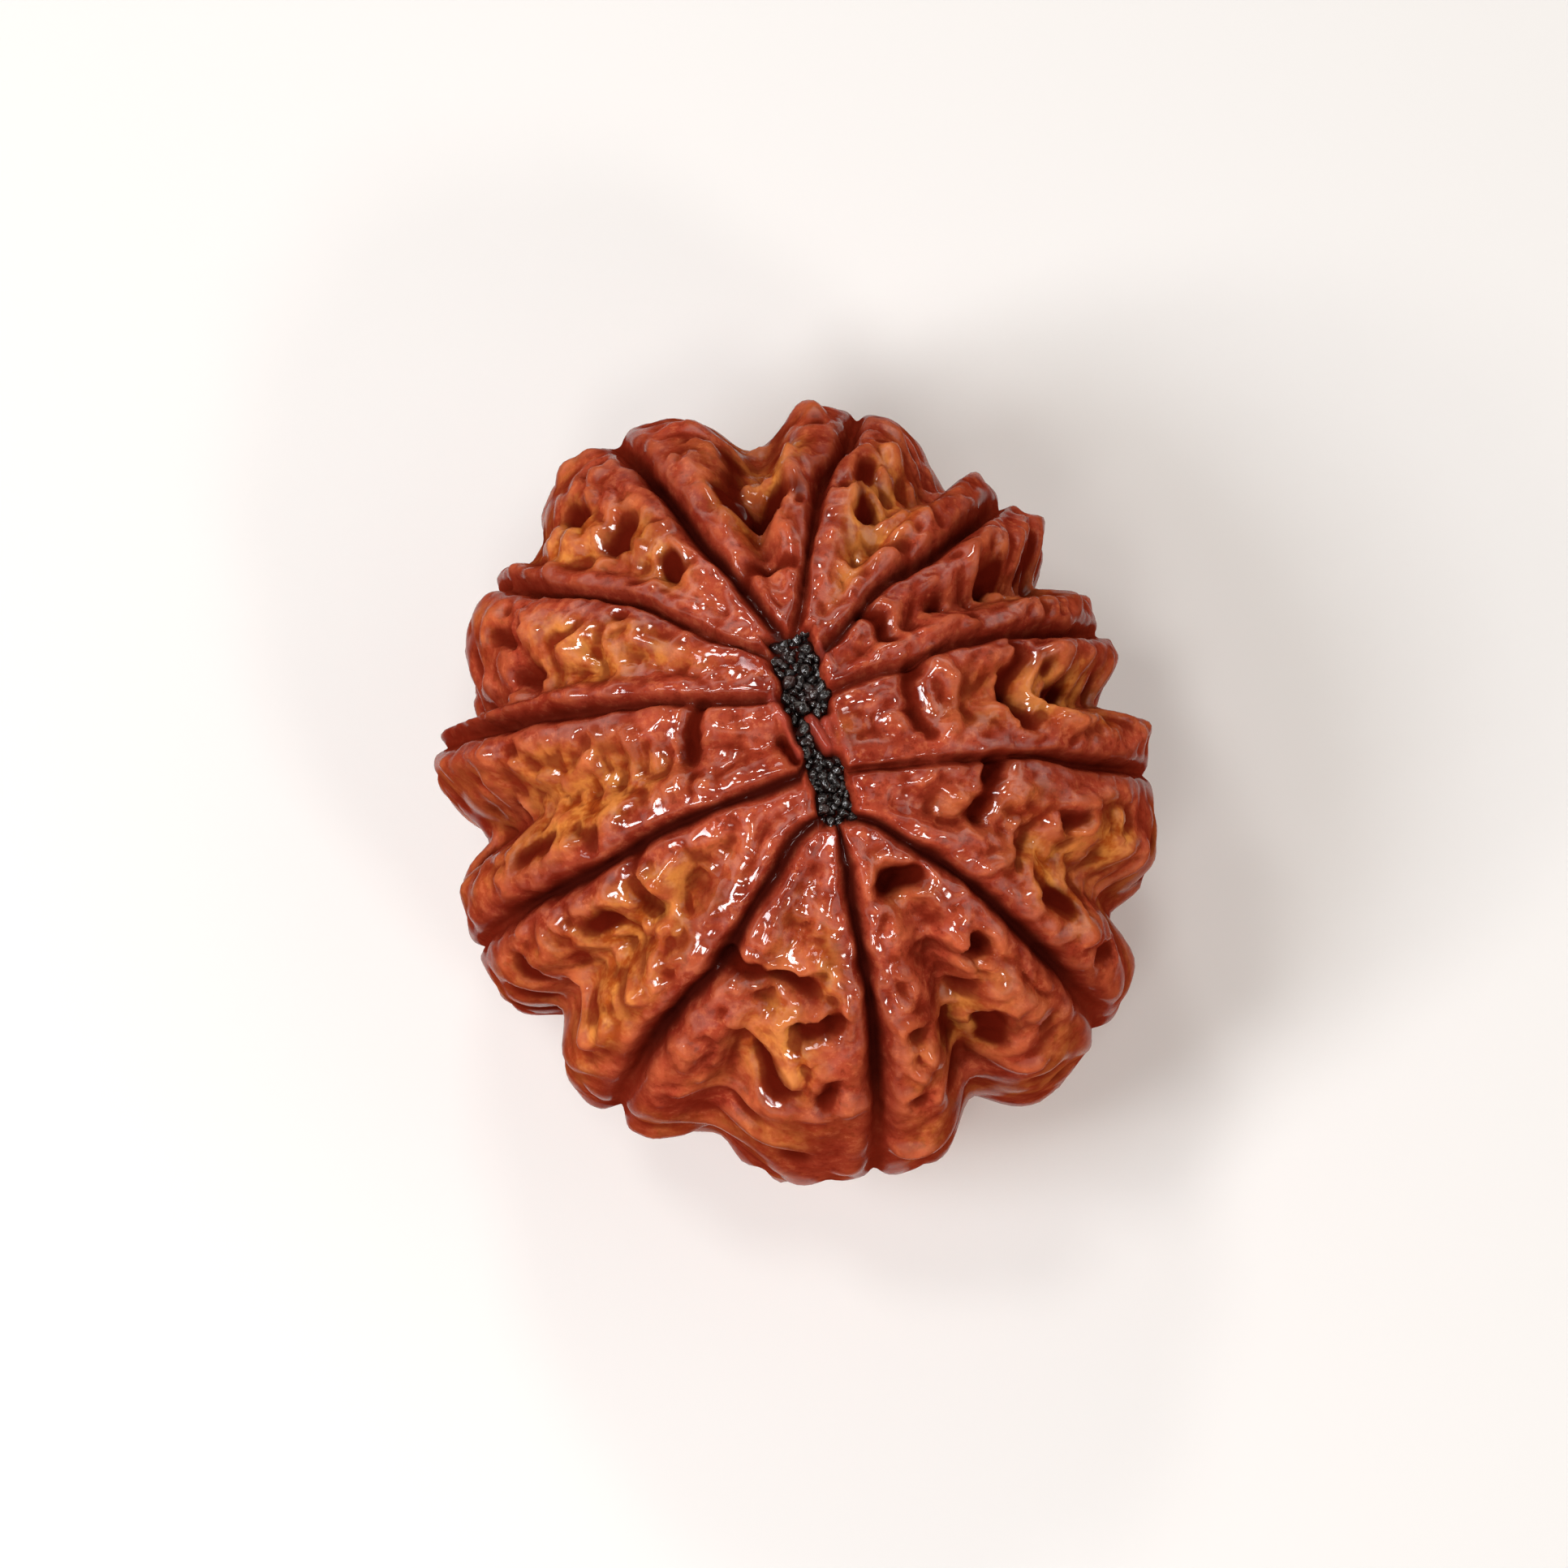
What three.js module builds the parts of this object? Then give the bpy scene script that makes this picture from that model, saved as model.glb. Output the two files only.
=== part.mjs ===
// A rudraksha seed: the stone of the fruit of Elaeocarpus ganitrus, with eleven seams.
//
// The stone is one solid. Eleven seams run from a narrow slot at the top to a small scar underneath.
// Each seam is a thin groove along the crest of a ridge, and between two ridges lies a face: a valley
// with hollows, folds and a raised net. The stone stands on the flat spots that it has worn underneath.
//
// Millimetres and degrees. +Z is up through the slot, +X to the right and +Y to the back.
// A place on the stone is a pair [azimuth, polar angle]: azimuth turns from +X towards +Y, and the polar
// angle is 0 at the slot, 90 at the widest line and 180 at the scar underneath.
import * as THREE from "three";

// Driving sizes of the body
const HALF_HEIGHT = 10.5;
const FULLNESS = 2.2; // 2 is an ellipsoid, and more has fuller shoulders
const FLAT_SPOT_CUT = 0.6; // how much of the lowest bulges is worn flat

// The slot at the top and the scar underneath: rings of the surface close on them as long ovals
const SLOT = { turn: 105, focus: 16.5, edge: 4.6, depth: 0.8 };
const SCAR = { turn: 40, focus: 6, edge: 3.2, depth: 0.9 };
const OVAL_REACH = 75; // the rings are round from this polar angle on
const EDGE_SOFTNESS = 1.6; // the floors of the slot and the scar rise to the skin over this angle
const PINCH = { at: 0.2, slant: 0.35, half: 0.75, share: 0.75 }; // a fold that crosses the slot

// Eleven seams: the ridge's radius at the widest line, the groove's width, the radius of the valley that
// follows, where across the face that valley lies, how broad the face's two sides stay before they drop
// into it, and the seam's azimuth at each polar angle of SEAM_ROWS
const SEAM_ROWS = [12, 20, 30, 40, 50, 60, 90];
const SEAMS = [
  [10.8, 0.4, 9.3, 0.52, 3, 1, [-7.5, -5.5, -2.5, -0.5, -0.5, 0.5, 4]],
  [10.6, 0.5, 9.3, 0.47, 1.6, 3, [42, 37.5, 36, 33, 30, 28.5, 30]],
  [11.3, 0.56, 10.4, 0.36, 3, 1.8, [69.5, 68.5, 66, 60, 58, 57, 57]],
  [12.4, 0.52, 11.0, 0.45, 1.5, 3, [97, 94, 92, 90, 88.5, 84.5, 83.5]],
  [13.2, 0.64, 11.8, 0.76, 3, 1, [110, 113, 116, 118.5, 119, 119.5, 120]],
  [12.3, 0.5, 10.9, 0.8, 1.8, 1, [131, 136, 138.5, 140.5, 144.5, 147, 147]],
  [12.1, 0.52, 10.2, 0.5, 0.8, 2.2, [164, 165, 167.5, 170, 171.5, 173, 173]],
  [11.8, 0.62, 10.4, 0.5, 3, 3, [213, 210.5, 208.5, 208.5, 207.5, 206, 204.5]],
  [11.9, 0.7, 10.9, 0.37, 1.3, 4, [246, 248.5, 247, 246, 242, 240, 237.5]],
  [12.2, 0.66, 10.5, 0.45, 3, 4, [284, 283, 282.5, 282.5, 282, 281, 279]],
  [11.8, 0.66, 9.9, 0.44, 2.5, 3.5, [318, 317, 319, 319.5, 319.5, 320, 320.5]],
].map(([ridge, width, valley, place, fall, rise, path]) => {
  return { ridge, width, valley, place, fall, rise, path };
});

// How far a seam strays from its azimuth below the widest line, fully so at the polar angle full. Its
// sine turns by rate degrees for each degree of polar angle, and by shift more from seam to seam.
const WANDER = { far: 2.5, full: 140, rate: 4, shift: 97 };

// The groove along a seam: its depth, and the shares of it and of the width that are left near the slot
// and the scar, and of the depth at the widest line, from the polar angle start to full
const GROOVE = { depth: 0.75, atPoles: 0.5, narrow: 0.7, atBelt: 0.4, start: 60, full: 86 };
const GROOVE_SPREAD = 0.8; // the groove's sides reach this many widths out

// The ridge along a seam: the skin stays at full height this far from the seam, though no further than
// this share of the way to the valley, and it rolls over towards the groove by a little
const LIP = { reach: 0.7, most: 0.35, shape: 1.2, roll: 0.25, rollReach: 0.9 };

// The valleys: where they begin and are at full depth, as polar angles, and their share of it before
// that. A face that is narrower than closed has no valley, and it fades in over the width fading.
const VALLEY = { start: 12, full: 70, atPoles: 0.25, closed: 0.5, fading: 2.5 };

// Hollows and folds are drawn this much wider on each side than they are, so that the rings can hold them
const STROKE_SPREAD = 0.24;

// Hollows: half width, depth, and one or more places that the hollow runs through
const HOLLOWS = [
  [0.45, 0.35, [114, 29], [105, 32.5], [96, 31]],
  [0.65, 0.85, [99, 48], [103, 44]],
  [0.6, 0.85, [107, 46], [109, 49]],
  [0.4, 0.6, [106.5, 51], [105, 63]],
  [0.62, 0.9, [128, 40]],
  [0.6, 0.55, [128, 52], [133, 52]],
  [0.45, 0.8, [133, 62], [132.5, 67]],
  [0.45, 0.45, [162, 54.5], [163, 60.5]],
  [0.4, 0.45, [157, 62], [156, 67]],
  [0.4, 0.6, [168, 20.3], [175, 20.8], [183, 21.6], [188, 22.3]],
  [0.45, 0.35, [200, 41], [203, 42.5]],
  [0.4, 0.5, [198, 50], [198.5, 57.5]],
  [0.55, 0.6, [189.5, 64]],
  [0.4, 0.4, [210, 36.5], [215, 38.3], [221, 39.5], [226, 41]],
  [0.5, 0.6, [218.7, 46.5], [218, 51]],
  [0.55, 0.35, [214, 53]],
  [0.45, 0.6, [247, 40], [255, 39.8], [262, 41], [269, 41.5]],
  [0.5, 0.65, [268, 49], [274, 46.5]],
  [0.48, 0.75, [260, 57], [262.5, 63], [265, 61]],
  [0.45, 0.7, [273, 59], [271, 63.5]],
  [0.65, 0.9, [299, 24], [307, 25.5]],
  [0.58, 0.85, [309.5, 43.5]],
  [0.45, 0.6, [290, 52.5]],
  [0.4, 0.55, [296.8, 56], [296.5, 63]],
  [0.48, 0.95, [304.5, 58], [303, 65]],
  [0.45, 0.6, [287, 65]],
  [0.4, 0.5, [312, 66]],
  [0.42, 0.6, [338, 30.5], [346, 31.5]],
  [0.5, 0.8, [351, 31], [356, 32]],
  [0.42, 0.7, [329.5, 48], [330, 55]],
  [0.5, 0.5, [346, 48], [348, 50.5]],
  [0.45, 0.6, [327, 66], [329, 70]],
  [0.45, 0.45, [351.5, 65]],
  [0.42, 0.4, [6, 19.5], [15, 18.5], [25, 17.8], [33, 19.5], [36, 22]],
  [0.45, 0.45, [8, 38.5], [15, 36.5], [21, 38], [24, 41], [29, 41.5]],
  [0.62, 0.75, [15, 48], [16.5, 55]],
  [0.4, 0.5, [66, 23], [60, 22.8], [55, 21.5], [50, 20.8]],
  [0.45, 0.65, [50, 34.8]],
  [0.48, 0.75, [47, 46.5], [46.2, 51]],
  [0.5, 0.6, [44, 61], [46, 64]],
  [0.52, 0.75, [77.5, 43.3], [78, 46]],
  [0.45, 0.75, [80.5, 51], [80, 55]],
];

// Folds: half width, height, and the places that the fold runs through
const FOLDS = [
  [0.45, 0.35, [94, 46], [96, 56]],
  [0.45, 0.25, [97, 37], [104, 40], [110, 42]],
  [0.45, 0.3, [122, 45], [127, 46], [132, 46.5]],
  [0.5, 0.35, [137, 58], [137, 68]],
  [0.55, 0.3, [143, 26], [149, 28], [152, 37]],
  [0.45, 0.35, [157.5, 44], [158.5, 49]],
  [0.45, 0.3, [167, 58], [169, 64]],
  [0.45, 0.3, [178, 31], [186, 31.8]],
  [0.45, 0.35, [192, 38], [183, 40], [186, 46], [184.5, 51]],
  [0.45, 0.35, [217, 36], [224, 35.3], [229, 37.5]],
  [0.45, 0.3, [213, 42.5], [219, 42.3], [222, 41]],
  [0.45, 0.35, [226, 45], [231.5, 39.5]],
  [0.5, 0.35, [232.5, 52]],
  [0.45, 0.3, [270.5, 44.5], [265, 47], [259, 50.5]],
  [0.45, 0.35, [257.5, 51.5], [262.5, 56], [262.8, 60]],
  [0.45, 0.3, [252, 57], [251, 64]],
  [0.45, 0.35, [305, 42], [307, 40.5]],
  [0.65, 0.35, [337, 50], [339, 57]],
  [0.45, 0.3, [326, 35], [333, 39], [341, 38.5]],
  [0.45, 0.3, [352, 24], [354, 20.5], [345, 17]],
  [0.45, 0.3, [7, 23], [15, 24.8], [24, 25.8], [33, 24.5]],
  [0.48, 0.45, [8, 48], [10, 43.5], [15, 41], [21, 42.5], [24, 47], [25, 53]],
  [0.45, 0.35, [46, 44.5], [50, 44], [53, 47], [53, 54]],
  [0.45, 0.3, [40, 36], [44, 26], [48, 17]],
  [0.5, 0.35, [70, 52], [72.5, 44], [76, 40.5]],
  [0.45, 0.25, [68, 36], [73, 32], [80, 30]],
];

// Hollows and folds that a seeded rule scatters over the flanks and the underside of each face
const SCATTER = { seed: 11, from: 72, to: 158, step: 9.5, inset: 0.22, jitter: 3, level: 0.6 };
const SCATTERED_HOLLOW = { wide: [0.42, 0.72], deep: [0.4, 0.85], reach: 6 };
const SCATTERED_FOLD = { wide: [0.42, 0.6], high: [0.25, 0.5], reach: 9 };

// The raised net between them: a sum of waves whose zero lines are the net's ridges
const NET = { seed: 5, waves: 14, length: 4.1, high: 0.28, deep: 0.3, sharp: 0.55 };
const NET_ON_LIP = 0.35; // share of the net's height that reaches the lips
const NET_AT_TOP = 0.3; // share of it on the top, where the hollows and folds above are drawn
const NET_START = 45; // polar angles where it starts to grow from that, and where it is at full height
const NET_FULL = 75;
const NET_TALL = 1.6; // its meshes are this much taller than wide

// Columns across a face, as distances from the seam and as shares of the face, whichever is less
const COLUMN_STEPS = [0, 0.28, 0.62, 1.1, 1.7, 2.45];
const HALF_COLUMNS = COLUMN_STEPS.length;
const FIRST_RINGS = [1.6, 3.2, 4.6, 6, 8.4];
const TOP_RING_STEP = 3.9; // down to the polar angle RING_CHANGE, and a longer step below it
const LOW_RING_STEP = 4.75;
const RING_CHANGE = 74;
const LAST_RINGS = [174.2, 176.8, 178.4];

const COLOUR = new THREE.Color(0x93432c);
const ROUGHNESS = 0.35;

const radians = THREE.MathUtils.degToRad;
const smooth = (x) => THREE.MathUtils.smoothstep(x, 0, 1);
const mix = THREE.MathUtils.lerp;

// A seeded row of numbers from 0 to 1
function randomRow(seed) {
  let state = seed;
  return () => {
    state = (Math.imul(state, 1664525) + 1013904223) >>> 0;
    return state / 2 ** 32;
  };
}

// The value at x of a smooth curve through the points (xs, ys), level past its ends
function curveThrough(xs, ys, x) {
  if (x <= xs[0]) return ys[0];
  const last = xs.length - 1;
  if (x >= xs[last]) return ys[last];
  const i = xs.findIndex((at) => at > x) - 1;
  const slope = (k) => {
    const before = Math.max(k - 1, 0);
    const after = Math.min(k + 1, last);
    return (ys[after] - ys[before]) / (xs[after] - xs[before]);
  };
  const span = xs[i + 1] - xs[i];
  const u = (x - xs[i]) / span;
  const bend = u * (1 - u) * span;
  return mix(ys[i], ys[i + 1], u * u * (3 - 2 * u)) + bend * ((1 - u) * slope(i) - u * slope(i + 1));
}

// Azimuth of seam i at a polar angle. Seams go on counting past the last, a full turn further on.
function seamAzimuth(i, polar) {
  const turn = Math.floor(i / SEAMS.length);
  const k = i - turn * SEAMS.length;
  const below = smooth((polar - 90) / (WANDER.full - 90));
  const wander = WANDER.far * below * Math.sin(radians(polar * WANDER.rate + k * WANDER.shift));
  return curveThrough(SEAM_ROWS, SEAMS[k].path, polar) + wander + 360 * turn;
}

// Direction from the middle of the stone of a place on it
function direction(azimuth, polar) {
  const top = polar <= 90;
  const pole = top ? SLOT : SCAR;
  const away = top ? polar : 180 - polar;
  const ring = Math.max(away, pole.edge);
  const focus = pole.focus * (1 - smooth(ring / OVAL_REACH));
  const shrink = away / ring;
  const along = shrink * Math.hypot(ring, focus) * Math.cos(radians(azimuth - pole.turn));
  const across = shrink * ring * Math.sin(radians(azimuth - pole.turn));
  const tilt = radians(Math.hypot(along, across));
  const turn = Math.atan2(across, along) + radians(pole.turn);
  const up = top ? Math.cos(tilt) : -Math.cos(tilt);
  return new THREE.Vector3(Math.sin(tilt) * Math.cos(turn), Math.sin(tilt) * Math.sin(turn), up);
}

// Which face an azimuth lies on at a polar angle, and how far across it, from 0 to 1
function faceAt(azimuth, polar) {
  for (let i = -1; i <= SEAMS.length; i++) {
    const from = seamAzimuth(i, polar);
    const to = seamAzimuth(i + 1, polar);
    if (azimuth >= from && azimuth < to) return { face: i, across: (azimuth - from) / (to - from) };
  }
  throw new Error("no face at azimuth " + azimuth);
}

// The smooth body that everything is raised from: its surface at a place, at the ridges' height
function bodyPoint(azimuth, polar, face, across) {
  const count = SEAMS.length;
  const here = SEAMS[(face + count) % count].ridge;
  const next = SEAMS[(face + 1 + count) % count].ridge;
  const belt = mix(here, next, smooth(across));
  const way = direction(azimuth, polar);
  const level = Math.hypot(way.x, way.y) / belt;
  const upright = Math.abs(way.z) / HALF_HEIGHT;
  return way.multiplyScalar((level ** FULLNESS + upright ** FULLNESS) ** (-1 / FULLNESS));
}

// A place as a point on the smooth body
function bodyPlace([azimuth, polar]) {
  const { face, across } = faceAt(azimuth, polar);
  return bodyPoint(azimuth, polar, face, across);
}

// Hollows and folds as lines of points on the body
const asStroke = ([wide, high, ...places]) => {
  return { wide: wide + STROKE_SPREAD, high, points: places.map(bodyPlace) };
};

function scatteredStrokes() {
  const random = randomRow(SCATTER.seed);
  const within = ([low, high]) => mix(low, high, random());
  const hollows = [];
  const folds = [];
  for (let face = 0; face < SEAMS.length; face++) {
    for (let row = SCATTER.from; row < SCATTER.to; row += SCATTER.step) {
      const place = (reach) => {
        const polar = row + SCATTER.jitter * (2 * random() - 1);
        const from = seamAzimuth(face, polar);
        const to = seamAzimuth(face + 1, polar);
        const start = [mix(from, to, mix(SCATTER.inset, 1 - SCATTER.inset, random())), polar];
        const turn = 2 * Math.PI * random();
        const end = [start[0] + reach * Math.cos(turn), polar + reach * Math.sin(turn) * SCATTER.level];
        return [start, end];
      };
      const hollow = [within(SCATTERED_HOLLOW.wide), within(SCATTERED_HOLLOW.deep)];
      hollows.push([...hollow, ...place(SCATTERED_HOLLOW.reach * random())]);
      const fold = [within(SCATTERED_FOLD.wide), within(SCATTERED_FOLD.high)];
      folds.push([...fold, ...place(SCATTERED_FOLD.reach)]);
    }
  }
  return { hollows, folds };
}

const scattered = scatteredStrokes();
const hollowStrokes = [...HOLLOWS, ...scattered.hollows].map(asStroke);
const foldStrokes = [...FOLDS, ...scattered.folds].map(asStroke);

// Distance from a point to a line of points
function distanceTo(points, point) {
  if (points.length === 1) return points[0].distanceTo(point);
  const nearest = new THREE.Vector3();
  const line = new THREE.Line3();
  let best = Infinity;
  for (let i = 1; i < points.length; i++) {
    line.set(points[i - 1], points[i]).closestPointToPoint(point, true, nearest);
    best = Math.min(best, nearest.distanceTo(point));
  }
  return best;
}

// The highest of the strokes at a point, each a round hump that falls to nothing at its half width
function highestOf(strokes, point) {
  let best = 0;
  for (const { wide, high, points } of strokes) {
    const share = distanceTo(points, point) / wide;
    if (share < 1) best = Math.max(best, high * (1 - share ** 2) ** 2);
  }
  return best;
}

function makeWaves() {
  const random = randomRow(NET.seed);
  return Array.from({ length: NET.waves }, () => {
    const up = 2 * random() - 1;
    const turn = 2 * Math.PI * random();
    const level = Math.sqrt(1 - up * up);
    const way = new THREE.Vector3(level * Math.cos(turn), level * Math.sin(turn), up / NET_TALL);
    const shift = 2 * Math.PI * random();
    return { way: way.multiplyScalar((2 * Math.PI) / NET.length), shift };
  });
}

const waves = makeWaves();

// Height of the raised net at a point: ridges along the zero lines of the waves, and dips between them
function netHeight(point) {
  const sum = waves.reduce((total, { way, shift }) => total + Math.sin(way.dot(point) + shift), 0);
  const level = Math.abs(sum) / Math.sqrt(NET.waves / 2);
  const ridge = NET.high * (1 - smooth(level / NET.sharp));
  return ridge - NET.deep * smooth((level - NET.sharp) / (3 * NET.sharp));
}

// Depth of the slot's floor at a point: it rises to a slanting fold near the middle of the slot's length
function slotDepth(point) {
  const along = point.x * Math.cos(radians(SLOT.turn)) + point.y * Math.sin(radians(SLOT.turn));
  const across = point.y * Math.cos(radians(SLOT.turn)) - point.x * Math.sin(radians(SLOT.turn));
  const fromPinch = Math.abs(along - PINCH.at + PINCH.slant * across) / PINCH.half;
  return SLOT.depth * (1 - PINCH.share * (1 - smooth(fromPinch)));
}

// How far the surface stands out of the smooth body at a point of it
function relief(point, polar, face, across, seamGap) {
  const count = SEAMS.length;
  const here = SEAMS[(face + count) % count];
  const next = SEAMS[(face + 1 + count) % count];
  const near = across < 0.5 ? here : next;
  const fromPole = Math.min(polar, 180 - polar);
  const opened = smooth((fromPole - VALLEY.start) / (VALLEY.full - VALLEY.start));

  const place = mix(0.5, here.place, opened);
  const width = seamGap / Math.max(Math.min(across, 1 - across), 1e-6);
  const toSeam = width * (across < place ? across : 1 - across);
  const toValley = width * (across < place ? place : 1 - place);
  const reach = Math.min(LIP.reach, LIP.most * toValley);
  const shape = mix(LIP.shape, across < place ? here.fall : here.rise, opened);
  const offLip = smooth((toSeam - reach) / Math.max(toValley - reach, 1e-6)) ** shape;

  const ridge = mix(here.ridge, next.ridge, smooth(across));
  const deep = mix(VALLEY.atPoles, 1, opened) * smooth((width - VALLEY.closed) / VALLEY.fading);
  const valley = -(ridge - here.valley) * deep * offLip;
  const grooveHalf = near.width * mix(GROOVE.narrow, 1, opened) * GROOVE_SPREAD;
  const atBelt = smooth((fromPole - GROOVE.start) / (GROOVE.full - GROOVE.start));
  const openSeam = mix(GROOVE.atPoles, 1, opened) * mix(1, GROOVE.atBelt, atBelt);
  const groove = -GROOVE.depth * openSeam * (1 - smooth(seamGap / grooveHalf));
  const roundGap = seamGap * Math.max(across, 1 - across);
  const roll = -LIP.roll * openSeam * (1 - smooth(roundGap / LIP.rollReach));

  const pole = polar <= 90 ? SLOT : SCAR;
  const inSlot = smooth((pole.edge - fromPole) / EDGE_SOFTNESS + 0.5);
  const sunk = polar <= 90 ? slotDepth(point) : SCAR.depth;
  const net = netHeight(point) * mix(NET_ON_LIP, 1, offLip);
  const netShare = mix(NET_AT_TOP, 1, smooth((polar - NET_START) / (NET_FULL - NET_START)));
  const drawn = highestOf(foldStrokes, point) - highestOf(hollowStrokes, point);
  return valley + (1 - inSlot) * (groove + roll + net * netShare + drawn) - sunk * inSlot;
}

// Azimuths of the columns round a ring, each with its face, share across and distance from the seam
function columnsAt(polar) {
  const columns = [];
  for (let face = 0; face < SEAMS.length; face++) {
    const from = seamAzimuth(face, polar);
    const to = seamAzimuth(face + 1, polar);
    const width = bodyPoint(from, polar, face, 0).distanceTo(bodyPoint(to, polar, face, 1));
    for (let k = 0; k < 2 * HALF_COLUMNS; k++) {
      const step = Math.min(k, 2 * HALF_COLUMNS - k);
      const share = step / (2 * HALF_COLUMNS);
      const near = step < HALF_COLUMNS ? Math.min(COLUMN_STEPS[step] / width, share) : share;
      const across = k <= HALF_COLUMNS ? near : 1 - near;
      columns.push({ azimuth: mix(from, to, across), face, across, seamGap: near * width });
    }
  }
  return columns;
}

function surfacePoint(polar, { azimuth, face, across, seamGap }) {
  const point = bodyPoint(azimuth, polar, face, across);
  return point.setLength(point.length() + relief(point, polar, face, across, seamGap));
}

function ringAngles() {
  const angles = [...FIRST_RINGS];
  while (angles.at(-1) < RING_CHANGE) angles.push(angles.at(-1) + TOP_RING_STEP);
  while (angles.at(-1) + LOW_RING_STEP < LAST_RINGS[0]) angles.push(angles.at(-1) + LOW_RING_STEP);
  return [...angles, ...LAST_RINGS];
}

// The closed skin: a point at the top, rings of columns down the stone, and a point underneath
function stoneGeometry() {
  const rings = ringAngles().map((polar) => columnsAt(polar).map((c) => surfacePoint(polar, c)));
  const columns = rings[0].length;
  const top = new THREE.Vector3(0, 0, HALF_HEIGHT);
  top.z -= slotDepth(top);
  const bottom = new THREE.Vector3(0, 0, SCAR.depth - HALF_HEIGHT);
  const points = [top, ...rings.flat(), bottom];

  const lowest = Math.min(...points.map((p) => p.z));
  const floor = lowest + FLAT_SPOT_CUT;
  for (const p of points) p.z = Math.max(p.z, floor);

  const faces = [];
  const at = (ring, column) => 1 + ring * columns + (column % columns);
  const last = rings.length - 1;
  for (let c = 0; c < columns; c++) {
    faces.push(0, at(0, c), at(0, c + 1));
    for (let r = 0; r < last; r++) {
      const [a, b, d, e] = [at(r, c), at(r + 1, c), at(r + 1, c + 1), at(r, c + 1)];
      const leaning = points[a].distanceTo(points[d]) <= points[b].distanceTo(points[e]);
      faces.push(...(leaning ? [a, b, d, a, d, e] : [a, b, e, b, d, e]));
    }
    faces.push(points.length - 1, at(last, c + 1), at(last, c));
  }

  const geometry = new THREE.BufferGeometry().setFromPoints(points);
  geometry.setIndex(faces);
  geometry.computeBoundingBox();
  const box = geometry.boundingBox;
  geometry.translate(-(box.min.x + box.max.x) / 2, -(box.min.y + box.max.y) / 2, -box.min.z);
  geometry.computeVertexNormals();
  return geometry;
}

const stone = new THREE.Mesh(
  stoneGeometry(),
  new THREE.MeshStandardMaterial({ color: COLOUR, roughness: ROUGHNESS, metalness: 0 }),
);
stone.name = "rudraksha_seed";

const part = new THREE.Group();
part.add(stone);
export default part;
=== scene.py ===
import math

import bmesh
import bpy
import numpy as np
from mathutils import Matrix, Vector, noise


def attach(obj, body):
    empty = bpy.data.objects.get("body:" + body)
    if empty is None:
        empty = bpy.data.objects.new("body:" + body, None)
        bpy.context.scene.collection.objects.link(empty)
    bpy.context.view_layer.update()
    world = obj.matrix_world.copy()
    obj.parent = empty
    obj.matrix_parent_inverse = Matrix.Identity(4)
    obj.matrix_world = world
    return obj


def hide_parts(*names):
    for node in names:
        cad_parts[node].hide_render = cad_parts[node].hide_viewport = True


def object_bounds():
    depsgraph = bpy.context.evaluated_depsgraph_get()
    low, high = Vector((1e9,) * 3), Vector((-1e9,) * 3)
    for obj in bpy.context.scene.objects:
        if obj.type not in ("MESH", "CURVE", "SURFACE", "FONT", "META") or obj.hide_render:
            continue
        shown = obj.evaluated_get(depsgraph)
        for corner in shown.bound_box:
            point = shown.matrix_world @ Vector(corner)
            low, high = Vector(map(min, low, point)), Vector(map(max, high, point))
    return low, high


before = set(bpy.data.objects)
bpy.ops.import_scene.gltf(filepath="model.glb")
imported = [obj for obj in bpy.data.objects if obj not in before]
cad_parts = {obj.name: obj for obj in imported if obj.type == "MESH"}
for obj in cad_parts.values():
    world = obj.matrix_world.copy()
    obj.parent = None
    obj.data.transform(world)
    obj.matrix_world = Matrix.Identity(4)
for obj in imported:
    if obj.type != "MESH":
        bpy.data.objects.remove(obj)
CAD_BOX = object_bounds()

MM = 0.001
NODE = "rudraksha_seed"

# The stone's body, as in the frame: sizes in millimetres, angles in degrees
HALF_HEIGHT = 10.5
FULLNESS = 2.2
AXIS = (0.529, -0.239, 10.126)  # the stone's middle, from the origin below its box's centre
SLOT = dict(turn=105, focus=16.5, edge=4.6, depth=0.8)
SCAR = dict(turn=40, focus=6, edge=3.2, depth=0.9)
OVAL_REACH = 75
EDGE_SOFTNESS = 1.6

# The slot's outline, the fold that nearly crosses it, the lips beside it and a pocket at its left: half
# width, height, and places [along the slot, across it] in millimetres from the stone's middle
SLOT_BOX = dict(low=-2.8, high=3.68, half=0.74, low_half=0.58, centre=-0.06, soft=0.3)
SLOT_FOLD = [(0.4, 0.72, [0.7, -0.04], [-0.25, -0.34]), (0.42, 0.7, [0.5, -0.5], [-0.35, -0.7])]
SLOT_LIPS = [
    (0.22, 0.2, [1.7, 1.02], [0.97, 0.82], [0.16, 0.68], [-0.32, 0.61]),
    (0.2, 0.16, [0.62, -0.76], [0, -0.86], [-0.75, -0.82]),
    (0.2, 0.14, [3, -0.9], [2.1, -1.1]),
    (0.18, 0.12, [-1.5, 0.85], [-2.3, 0.9]),
]
SLOT_POCKETS = [(0.26, 0.5, [0.3, 1.07], [-0.45, 0.77])]
SLOT_LIP_TOP = 0.22
SLOT_EDGE = dict(widening=1.6, wave=0.05, rate=5.3, bump=0.11, size=0.45, shift=6.1, corner=0.35)

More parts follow.
